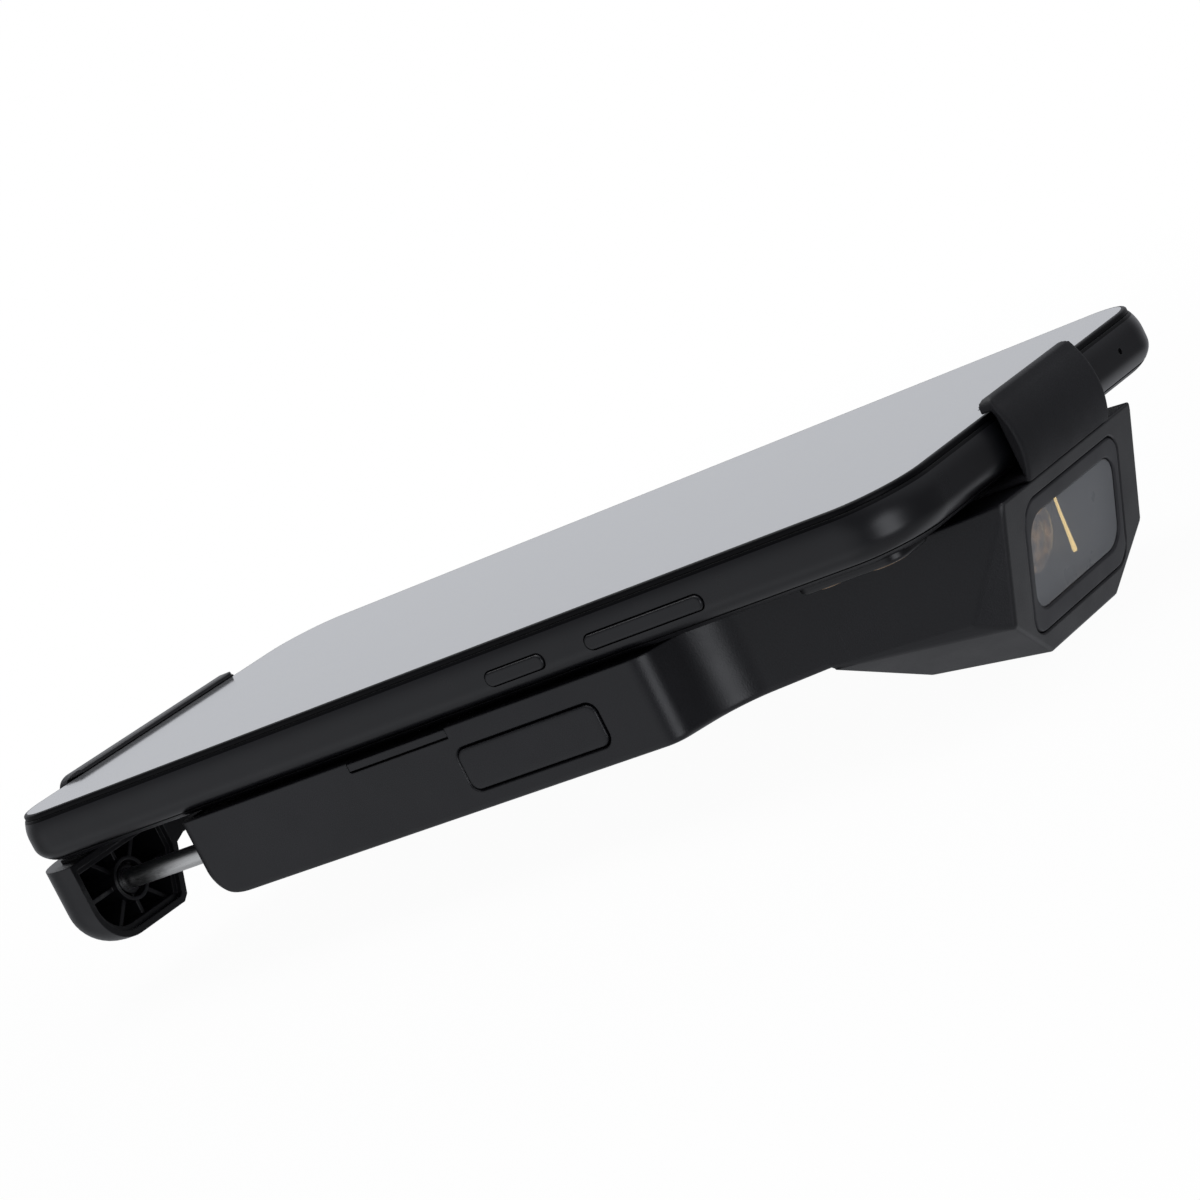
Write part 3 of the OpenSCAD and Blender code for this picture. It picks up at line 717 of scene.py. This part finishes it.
def cut_grip_side(shell, side):
    """The trigger's opening, the tray tongue's notch, the rod's bore and the screw holes."""
    opening = trigger_rings(((-0.2, -3), (-0.2, -0.25), (-0.42, 0.02), (-0.42, 2)), side)
    notch = points((-14.75, 21.3), (-14.4, 21.08), (3.5, 21.08), (3.5, 30), (-14.75, 30))
    bore_r = 3.23
    cut(shell, loft("cut", opening),
        prism("cut", notch, along_y, side * (grip_half_w - 3), side * (grip_half_w + 2)),
        lathe("cut", [(-3, bore_r), (6, bore_r)], (grip_x0, side * rod_y, rod_z)))
    hole = [(-4, 2.45), (-0.01, 2.45), (0.2, 2.25), (1.2, 2.25), (1.2, 1.2), (6, 1.2)]
    for x, y in SCREW_SPOTS:
        cut(shell, lathe("cut", hole, (x, side * y, GRIP_BOTTOM), "z", 40))


def cut_grip_end(shell):
    """The charging socket's opening and the status light's hole."""
    socket = shift(round_rect(9.4, 3.6, 1.7), 0, rod_z)
    light_y, light_r = 11, 1.05
    cut(shell, prism("cut", socket, along_x, grip_x0 - 2, grip_x0 + 4),
        lathe("cut", [(-2, light_r), (6, light_r)], (grip_x0, light_y, rod_z), "x", 32))


def make_shell():
    """Grip, neck and scan head in one moulding, open at the top."""
    grip_end, cavity_end = 57, 52
    obj = make_grip_solid(0, GRIP_BOTTOM, grip_top, "sled_shell")
    open_neck = points((shoulder_x, OPEN_TOP), (shoulder_x, grip_top + 0.02),
                       (shoulder_x + 4, grip_top - 0.5), (head_x, HEAD_TOP),
                       (FAR_X, HEAD_TOP), (FAR_X, OPEN_TOP))
    cut(obj, prism("cut", open_neck, along_y, -FAR, FAR), beyond(grip_end))
    combine(obj, make_head_solid(), "UNION")
    cavity = make_grip_solid(WALL, GRIP_BOTTOM + WALL, OPEN_TOP, "cavity")
    cut(cavity, beyond(cavity_end))
    cut(obj, cavity)
    cut_scan_window(obj)
    for side in (-1, 1):
        cut_grip_side(obj, side)
    cut_grip_end(obj)
    return smooth(obj, 28)


def cross_head(name, centre, r, height, axis):
    """A pan-head screw with a cross recess, its head facing down or towards -X."""
    profile = [(6.5, 1.05), (0.02, 1.05), (0.02, r), (-height * 0.35, r), (-height * 0.7, r * 0.9),
               (-height * 0.93, r * 0.62), (-height, 0.05)]
    obj = lathe(name, profile, centre, axis, 40)
    for w, h in ((r * 1.15, 0.42), (0.42, r * 1.15)):
        outline = [(-w / 2, -h / 2), (w / 2, -h / 2), (w / 2, h / 2), (-w / 2, h / 2)]
        rings = []
        for along in (-height * 0.25, -height * 2):
            places = [(a, b, along) if axis == "z" else (along, a, b) for a, b in outline]
            rings.append([tuple(c + q for c, q in zip(centre, place)) for place in places])
        cut(obj, loft("cut", rings))
    return obj


def make_housing_screws():
    screws = [cross_head("housing_screw_set", (x, side * y, GRIP_BOTTOM + 1.15), 2.0, 0.95, "z")
              for x, y in SCREW_SPOTS for side in (-1, 1)]
    return smooth(join(screws), 30)


def make_trigger(name, side):
    steps = ((0, -2.4), (0, -0.1), (0.06, 0.06), (0.2, 0.14), (0.5, 0.19), (1.0, 0.2))
    return smooth(loft(name, trigger_rings(steps, side)), 50)


def make_hook():
    """The fixed hook: a curved finger with a short lip over the screen and a foot on the bed tray."""
    foot_x, foot_z, foot_top = phone_high.x - 12.5, hook_low.z, back_z - 0.3
    tip_x, top_z = phone_high.x - 1.2, hook_high.z
    inner_x = phone_high.x + 0.5
    centre_x, centre_z, r = 72.5, 26.6, 11.7
    start = math.degrees(math.asin((foot_z - centre_z) / r))
    end = math.degrees(math.asin((top_z - 1.1 - centre_z) / r))
    outline = (points((foot_x, foot_z)) + arc(centre_x, centre_z, r, start, end, 22)
               + arc(tip_x + 1.15, top_z - 1.0, 1.0, 35, 100, 7)
               + points((tip_x + 0.5, top_z - 0.12), (tip_x + 0.2, top_z - 0.35),
                        (tip_x + 0.04, top_z - 0.7), (tip_x + 0.02, screen_z + 0.3),
                        (tip_x + 0.15, screen_z + 0.15), (inner_x - 0.6, screen_z + 0.15),
                        (inner_x - 0.2, screen_z), (inner_x, screen_z - 0.6),
                        (inner_x, foot_top), (foot_x, foot_top)))
    half, side_r = hook_high.y, 1.6
    rings = []
    for t, d in ((0.3, 0), (0.2, 0.1), (0.05, 0.28), (0, 0.55), (0, 0.9), (0, 1.25), (0, side_r)):
        limit = top_z - side_r + math.sqrt(side_r ** 2 - (side_r - d) ** 2)
        section = [Vector((p.x, min(p.y, limit))) for p in inset(outline, t)]
        rings.append(along_y(section, d - half))
    rings += [along_y([Vector((x, z)) for x, _, z in ring], -ring[0][1]) for ring in reversed(rings)]
    obj = loft("top_hook_finger", rings)
    seat = foot_top - foot_z - 0.7
    screw_x, screw_y = 72, 7
    screw_hole = [(-3, 1.2), (seat, 1.2), (seat, 2.1), (6, 2.1)]
    for side in (-1, 1):
        cut(obj, lathe("cut", screw_hole, (screw_x, side * screw_y, foot_z), "z", 32))
    return smooth(obj, 30)


def make_bezel():
    outer = ((0.12, -1.15), (0.12, -0.25), (0.3, -0.02), (0.5, 0))
    inner = ((-0.35, 0), (-0.16, -0.08), (-0.06, -0.25), (-0.06, -1.15))
    rings = [framed(BEZEL, *step) for step in outer] + [framed(PANE, *step) for step in inner]
    return smooth(loft("window_frame", rings, closed=True), 30)


def make_pane():
    steps = ((0.02, -1.2), (0.02, -0.4), (0.14, -0.3), (0.3, -0.3))
    return smooth(loft("scan_window_pane", [framed(PANE, *step) for step in steps]), 25)


def make_scan_lens():
    """A domed lens in its barrel, square to the scan face."""
    r = 4.1
    profile = [(0, r), (1.15, r), (1.2, 0.97 * r), (1.2, 0.8 * r), (0.75, 0.76 * r), (0.75, 0.68 * r),
               (1.1, 0.52 * r), (1.3, 0.34 * r), (1.38, 0.15 * r), (1.4, 0.01 * r)]
    obj = lathe("scan_lens_barrel", profile, (0, 0, 0))
    turn = Vector((1, 0, 0)).rotation_difference(FACE_OUT).to_matrix().to_4x4()
    obj.data.transform(turn)
    obj.data.transform(Matrix.Translation(on_face(-6.2, 9.7, -3.4) * MM))
    return smooth(obj, 25)


def make_aimer():
    """The amber bar behind the window, thin at its top and thick at its foot."""
    section = ((-1, -1), (1, -1), (1, 0.3), (0.5, 1), (-0.5, 1), (-1, 0.3))
    rings = []
    for middle, s, half in ((-1.8, 5.2, 0.14), (-0.4, 8.2, 0.19), (1.2, 11.3, 0.3), (2.6, 14.2, 0.48),
                            (2.7, 14.5, 0.4)):
        rings.append([on_face(middle + half * u, s, -1.8 + 0.15 * v) for u, v in section])
    return smooth(loft("aimer_bar", rings), 30)


def make_engine():
    """The scan engine: a block with a front plate."""
    block = loft("scan_engine_block", [face_ring(10.5, 7.5, 18, 1, depth) for depth in (-12, -3.85)])
    plate = loft("plate", [face_ring(11.6, 4.4, 18.4, 1, -3.9), face_ring(11.6, 4.4, 18.4, 1, -3.5),
                           face_ring(11.5, 4.5, 18.3, 0.9, -3.42)])
    combine(block, plate, "UNION")
    return smooth(block, 25)


def make_bush_pair():
    """Flanged bushes in the grip's end, one for each rod."""
    turns, hole = 48, 1.54
    section = [(-0.6, hole + 0.15), (-0.6, 3.6), (-0.45, 3.9), (0, 4.0), (0, 3.17), (7.0, 3.17),
               (7.2, 3.0), (7.2, hole), (-0.45, hole)]
    pair = []
    for side in (-1, 1):
        rings = []
        for i in range(turns):
            a = 2 * math.pi * i / turns
            rings.append([(grip_x0 + x, side * rod_y + r * math.cos(a), rod_z + r * math.sin(a))
                          for x, r in section])
        pair.append(loft("rod_bush_pair", rings, closed=True))
    return smooth(join(pair), 30)


# ---- Clamp ----

CLAMP_PLAN_R = 10.0     # the ears' outer corners
CLAMP_EDGE_R = 6.5      # their lower edges
STOP_HALF = 21.5        # half the stop's width
STOP_WALL_X = -82.0     # its inner face
STOP_ROOT = 3.0         # how far it reaches down into the jaw
LIP_X = -80.3           # end of its lip over the glass
PAST = 8                # how far an ear's cutters run out past its rim
RIB_COUNT, RIB_HALF = 8, 0.32
clamp_x0 = clamp_low.x
clamp_rim = clamp_high.x
clamp_half_w = clamp_high.y
clamp_bottom = clamp_low.z
clamp_top = back_z - 0.8


def clamp_plan():
    """The clamp seen from above, run on past its rim."""
    half = (points((clamp_rim + 12, clamp_half_w))
            + arc(clamp_x0 + CLAMP_PLAN_R, clamp_half_w - CLAMP_PLAN_R, CLAMP_PLAN_R, 90, 180, 20))
    return half + flip_y(half)


def ear_section():
    """The inner, slanted side of the +Y ear seen along X; its outer side comes from the plan."""
    inner, outer = 15.5, 40
    return points((inner, clamp_top + 1), (inner, clamp_top - 5.9), (18.5, clamp_bottom + 0.8),
                  (22.5, clamp_bottom - 2), (outer, clamp_bottom - 2), (outer, clamp_top + 1))


def ear_solid(side, t, reach):
    """One ear moved in by t and lengthened past its rim by reach, its lower edge rounded all round."""
    floor, edge = clamp_bottom + t, CLAMP_EDGE_R - t
    plan = inset(clamp_plan(), t)
    levels = rounded_levels(floor, edge, 12) + [clamp_top - t]
    obj = loft("ear", [along_z(inset(plan, rounded_in(z, floor, edge)), z) for z in levels])
    section = inset(ear_section(), t)
    if side < 0:
        section = flip_x(section)
    return combine(obj, prism("inner", section, along_x, -FAR_X, clamp_rim + reach), "INTERSECT")


def make_stop():
    """The upright behind the phone's end, with its lip over the glass."""
    top = clamp_high.z
    low = clamp_top - STOP_ROOT
    outline = points((clamp_x0, low), (STOP_WALL_X, low), (STOP_WALL_X, screen_z + 0.15),
                     (LIP_X + 0.15, screen_z + 0.15), (LIP_X, screen_z + 0.3),
                     (LIP_X + 0.05, top - 0.2), (LIP_X - 0.3, top))
    outline += arc(clamp_x0 + 0.7, top - 0.7, 0.7, 90, 180, 6)
    obj = prism("stop", outline, along_y, -STOP_HALF, STOP_HALF)
    rounded = shift(round_rect(2 * STOP_HALF, 2 * (top - low), 3.0, 10), 0, low)
    combine(obj, prism("round", rounded, along_x, -FAR_X, -FAR), "INTERSECT")
    for side in (-1, 1):
        lip_end = points((STOP_WALL_X, side * (STOP_HALF - 1.1)), (LIP_X + 1, side * (STOP_HALF - 4.2)),
                         (LIP_X + 1, side * 30), (STOP_WALL_X, side * 30))
        cut(obj, prism("lip_end", lip_end, along_z, low, top + 1))
    return obj


def ear_pocket(side):
    """The hollow of one ear, less the rod's grooved boss and the ribs that run out from it."""
    centre = (0, side * rod_y, rod_z)
    pocket = ear_solid(side, WALL, PAST)
    boss = lathe("boss", [(clamp_x0 - 1, 3.3), (clamp_rim - 0.9, 3.3), (clamp_rim - 0.8, 3.2)], centre)
    combine(boss, lathe("groove", [(clamp_rim - 2.6, 2.75), (clamp_rim, 2.75)], centre), "DIFFERENCE")
    combine(boss, lathe("core", [(clamp_x0 - 1, 2.1), (clamp_rim - 1.4, 2.1)], centre), "UNION")
    cut(pocket, boss)
    for i in range(RIB_COUNT):
        along = unit(360 / RIB_COUNT * i)
        across = Vector((-along.y, along.x)) * RIB_HALF
        start, end = along * 2, along * 16
        outline = [start - across, end - across, end + across, start + across]
        placed = shift(outline, side * rod_y, rod_z)
        cut(pocket, prism("rib", placed, along_x, clamp_x0 - 1, clamp_rim - 2))
    return pocket


def rim_step(side):
    """The shallow step just inside one ear's rim."""
    step = ear_solid(side, 1.0, PAST)
    inward = points((-100, -100), (clamp_rim - 0.9, -100), (clamp_rim - 0.9, 100), (-100, 100))
    return cut(step, prism("inward", inward, along_z, -10, FAR))


def make_clamp():
    """Two hollow ears, the jaw between them and the stop with its lip."""
    top = clamp_top
    jaw = points((-17, top - 5.5), (-15.4, top - 5.8), (-13.5, top - 5.1), (13.5, top - 5.1),
                 (15.4, top - 5.8), (17, top - 5.5), (17, top), (-17, top))
    obj = prism("clamp_jaw", jaw, along_x, clamp_x0, clamp_rim)
    for side in (-1, 1):
        combine(obj, ear_solid(side, 0, 0), "UNION")
    combine(obj, make_stop(), "UNION")
    bevel(obj, 0.3, 2, 40)
    screw_seat, rod_hole = clamp_x0 + 1.3, rod_r + 0.02
    bore = [(clamp_x0 - 1, 2.1), (screw_seat, 2.1), (screw_seat, 1.0), (rod_low.x, 1.0),
            (rod_low.x, rod_hole), (clamp_rim + PAST, rod_hole)]
    for side in (-1, 1):
        cut(obj, ear_pocket(side), rim_step(side),
            lathe("cut", bore, (0, side * rod_y, rod_z), "x", 40))
    return smooth(obj, 30)


def make_rod(name, side):
    chamfer = 0.3
    profile = [(rod_low.x, rod_r - chamfer), (rod_low.x + chamfer, rod_r),
               (rod_high.x - chamfer, rod_r), (rod_high.x, rod_r - chamfer)]
    return smooth(lathe(name, profile, (0, side * rod_y, rod_z), "x", 64), 30)


SPRING_TURNS, SPRING_R, SPRING_WIRE_R = 13, 2.45, 0.35
spring_low, spring_high = box_mm("return_spring_left")


def make_spring(name, side):
    """A return spring: round wire coiled between the bush and the rod's collar."""
    steps, sides = SPRING_TURNS * 18, 8
    start = spring_low.x + SPRING_WIRE_R
    run = spring_high.x - spring_low.x - 2 * SPRING_WIRE_R
    rings = []
    for k in range(steps + 1):
        a = 2 * math.pi * SPRING_TURNS * k / steps
        ring = []
        for j in range(sides):
            b = 2 * math.pi * j / sides
            r = SPRING_R + SPRING_WIRE_R * math.cos(b)
            ring.append((start + run * k / steps + SPRING_WIRE_R * math.sin(b),
                         side * rod_y + r * math.cos(a), rod_z + r * math.sin(a)))
        rings.append(ring)
    return smooth(loft(name, rings), 50)


def squeeze(spring):
    """Gives the spring its own copy of its mesh."""
    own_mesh(spring)


def make_tip_screws():
    screws = [cross_head("clamp_screw_pair", (clamp_x0 + 1.25, side * rod_y, rod_z), 1.95, 1.0, "x")
              for side in (-1, 1)]
    return smooth(join(screws), 30)


# ---- Put together ----

dress(make_phone_frame(), frame_gloss, "sled", "phone_frame", "phone_frame", second=dark_rim_and_painted_shade)
dress(make_back_cover(), back_gloss, "sled", "phone_back", "phone_back_cover")
dress(make_glass(), screen_glass, "sled", "screen", "screen_glass", second=dark_rim_and_painted_shade)
dress(make_side_key("power_key", power_low, power_high), frame_gloss, "power_button", "phone_frame",
      "power_button")
dress(make_side_key("volume_key", volume_low, volume_high), frame_gloss, "volume_rocker", "phone_frame",
      "volume_rocker")
dress(make_rear_camera(), frame_gloss, "sled", "phone_frame", "rear_camera")
dress(make_camera_lenses(), lens_glass_painted_glow, "sled", "lens", "camera_lenses")
dress(make_shell(), housing, "sled", "housing", "lower_shell")
dress(make_housing_screws(), screw_steel, "sled", "steel", "housing_screws")
dress(make_trigger("trigger_key_left", 1), key_plastic, "trigger_left", "key", "trigger_left")
dress(make_trigger("trigger_key_right", -1), key_plastic, "trigger_right", "key", "trigger_right")
dress(make_hook(), hook_plastic, "sled", "hook", "top_hook")
dress(make_bezel(), bezel_plastic, "sled", "bezel", "window_bezel")
dress(make_pane(), window_glass, "sled", "window", "scan_window")
dress(make_scan_lens(), copper_lens_painted_glow, "sled", "lens", "scan_lens")
dress(make_aimer(), amber_glass_painted_glow, "sled", "amber", "aimer_lens")
dress(make_engine(), engine_grey, "sled", "module", "scan_engine_body")
dress(make_bush_pair(), bronze, "sled", "bush", "rod_bushes")
dress(make_clamp(), housing, "clamp", "housing", "clamp_block")
dress(make_rod("guide_rod_l", 1), steel, "clamp", "steel", "guide_rod_left")
dress(make_rod("guide_rod_r", -1), steel, "clamp", "steel", "guide_rod_right")
dress(make_tip_screws(), screw_steel, "clamp", "steel", "rod_screws")
squeeze(dress(make_spring("spring_coil_left", 1), screw_steel, "sled", "steel", "return_spring_left"))
squeeze(dress(make_spring("spring_coil_right", -1), screw_steel, "sled", "steel", "return_spring_right"))

KEPT = {"bed_tray": housing, "bed_pads": rubber, "top_hook_pad": rubber, "hook_screws": screw_steel,
        "main_board": board, "board_chips": chip_plastic, "battery_pack": battery_film,
        "usb_socket": screw_steel, "buzzer": chip_plastic, "status_light_pipe": light_plastic,
        "trigger_switches": chip_plastic, "clamp_pad": rubber, "rod_collars": steel,
        "display_panel": module_metal, "phone_battery": battery_film, "phone_board": board,
        "phone_socket": screw_steel, "phone_speaker": chip_plastic, "sim_tray": frame_gloss,
        "earpiece_grille": chip_plastic}
for kept_node, kept_material in KEPT.items():
    keep(kept_node, kept_material)


# ---- Stage, light and camera ----

def make_floor():
    """White paper, shaded under the object and glowing full white further out."""
    size = 6000
    corners = points((-size, -size), (size, -size), (size, size), (-size, size))
    obj = new_object("floor", along_z(corners, 0), [(0, 1, 2, 3)])
    n = Nodes("floor_paper")
    n.link(n.colours(n.noise(3, 2), (0.84, 0.84, 0.84), (0.87, 0.87, 0.87)), n.shader.inputs["Base Color"])
    n.shader.inputs["Roughness"].default_value = 0.9
    glow = n.add("ShaderNodeEmission", Color=(1, 1, 1, 1), Strength=1.0)
    reach = n.add("ShaderNodeVectorMath", Vector=n.place)
    reach.operation = "LENGTH"
    fade = n.ramp(reach.outputs["Value"], 0.965, 1.0, 0.12, 0.4)
    mix = n.add("ShaderNodeMixShader", Fac=fade)
    n.link(n.shader.outputs["BSDF"], mix.inputs[1])
    n.link(glow.outputs["Emission"], mix.inputs[2])
    n.link(mix.outputs["Shader"], n.tree.nodes["Material Output"].inputs["Surface"])
    obj.data.materials.append(n.material)
    obj.visible_glossy = False
    obj.visible_diffuse = False


ROOM = 0.15         # the dim light that comes from everywhere
# Softboxes of the studio: azimuth, elevation, where the light starts and is full (degrees from
# its middle), and how strong it is
SOFTBOXES = ((-125, -12, 46, 15, 0.4), (0, -90, 75, 35, 0.24), (78, -50, 34, 10, 0.37),
             (128, 14, 60, 20, 0.45), (-46, -9, 24, 8, 2.1), (-40, 78, 45, 15, 0.5),
             (30, 60, 60, 20, 0.3))


def heading(azimuth, elevation):
    a, e = math.radians(azimuth), math.radians(elevation)
    return (math.cos(a) * math.cos(e), math.sin(a) * math.cos(e), math.sin(e))


def make_world():
    """White paper for the camera; for everything else a dim room with softboxes."""
    world = bpy.data.worlds.new("studio")
    world.use_nodes = True
    bpy.context.scene.world = world
    tree = world.node_tree
    new, link = tree.nodes.new, tree.links.new
    facing = new("ShaderNodeVectorMath")
    facing.operation = "NORMALIZE"
    link(new("ShaderNodeTexCoord").outputs["Generated"], facing.inputs[0])

    def beam(direction, outer, inner, strength):
        across = new("ShaderNodeVectorMath")
        across.operation = "DOT_PRODUCT"
        across.inputs[1].default_value = direction
        link(facing.outputs["Vector"], across.inputs[0])
        fade = new("ShaderNodeMapRange")
        fade.interpolation_type = "SMOOTHSTEP"
        fade.inputs["From Min"].default_value = math.cos(math.radians(outer))
        fade.inputs["From Max"].default_value = math.cos(math.radians(inner))
        fade.inputs["To Min"].default_value = 0
        fade.inputs["To Max"].default_value = strength
        link(across.outputs["Value"], fade.inputs["Value"])
        return fade.outputs["Result"]

    total = new("ShaderNodeValue").outputs["Value"]
    total.default_value = ROOM
    for azimuth, elevation, outer, inner, strength in SOFTBOXES:
        add = new("ShaderNodeMath")
        link(beam(heading(azimuth, elevation), outer, inner, strength), add.inputs[0])
        link(total, add.inputs[1])
        total = add.outputs["Value"]
    room = tree.nodes["Background"]
    room.inputs["Color"].default_value = (0.93, 0.95, 1.0, 1)
    link(total, room.inputs["Strength"])
    paper = new("ShaderNodeBackground")
    paper.inputs["Color"].default_value = (1, 1, 1, 1)
    path = new("ShaderNodeLightPath")
    mix = new("ShaderNodeMixShader")
    link(path.outputs["Is Camera Ray"], mix.inputs[0])
    link(room.outputs[0], mix.inputs[1])
    link(paper.outputs[0], mix.inputs[2])
    link(mix.outputs[0], tree.nodes["World Output"].inputs["Surface"])


def aim(obj, target, roll=0.0):
    """Points a light or the camera at target, turned by roll degrees about its line of sight."""
    direction = (Vector(target) - obj.location).normalized()
    turn = direction.to_track_quat("-Z", "Y").to_matrix().to_4x4()
    spin = Matrix.Rotation(math.radians(roll), 4, "Z")
    place = Matrix.Translation(obj.location)
    obj.matrix_world = place @ turn @ spin


def make_top_light():
    light = bpy.data.lights.new("top_soft", "AREA")
    light.size = 1.0
    light.energy = 6
    obj = bpy.data.objects.new("top_soft", light)
    bpy.context.scene.collection.objects.link(obj)
    obj.location = (-0.3, 0.2, 1.2)
    aim(obj, (0, 0, 0.02))


# Metres, degrees and a 36 mm wide sensor
CAMERA_PLACE = (0.32722, -0.40142, 0.09069)
CAMERA_TARGET = (0.00321, 0.00327, 0.02422)
CAMERA_ROLL = -26.67
CAMERA_LENS = 114.49


def make_camera():
    data = bpy.data.cameras.new("camera")
    data.lens = CAMERA_LENS
    data.sensor_width = 36
    data.clip_start = 0.01
    obj = bpy.data.objects.new("camera", data)
    bpy.context.scene.collection.objects.link(obj)
    obj.location = CAMERA_PLACE
    aim(obj, CAMERA_TARGET, CAMERA_ROLL)
    bpy.context.scene.camera = obj


make_floor()
make_world()
make_top_light()
make_camera()
bpy.context.scene.view_settings.view_transform = "Standard"
